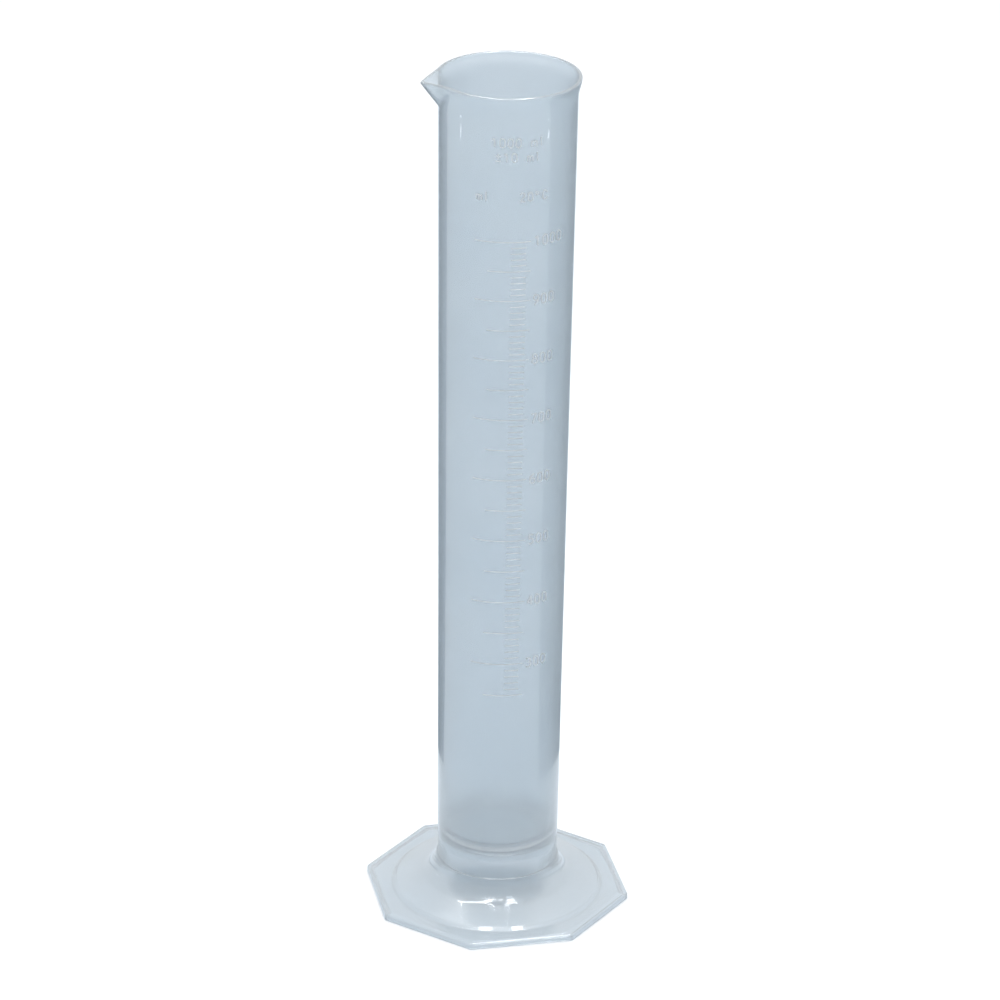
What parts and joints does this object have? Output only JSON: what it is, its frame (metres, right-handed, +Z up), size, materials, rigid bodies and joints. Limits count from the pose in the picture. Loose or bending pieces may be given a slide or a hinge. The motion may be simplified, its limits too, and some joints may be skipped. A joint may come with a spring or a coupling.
{
  "type": "graduated cylinder",
  "caption": "Tall translucent plastic measuring cylinder with an octagonal foot, a pouring spout and a raised millilitre scale.",
  "frame": {"origin": "centre of the octagonal foot on the resting plane, on the tube's axis", "axes": "+Z up the tube; the pouring spout points along -X and the scale faces -Y"},
  "size_m": [0.129, 0.129, 0.45],
  "materials": {
    "polypropylene": "glossy translucent natural polypropylene, faintly blue",
    "raised_marks": "the same moulding, raised lines and characters"
  },
  "bodies": {
    "root": {"measuring_tube": "polypropylene", "tube_floor": "polypropylene", "mouth_rim": "polypropylene", "pouring_spout": "polypropylene", "foot_bell": "polypropylene", "foot_flange": "polypropylene", "foot_edge": "polypropylene", "lines_10_ml": "raised_marks", "lines_50_ml": "raised_marks", "lines_100_ml": "raised_marks", "scale_numerals": "raised_marks", "capacity_mark": "raised_marks", "tolerance_mark": "raised_marks", "unit_mark": "raised_marks", "temperature_mark": "raised_marks"}
  },
  "joints": []
}
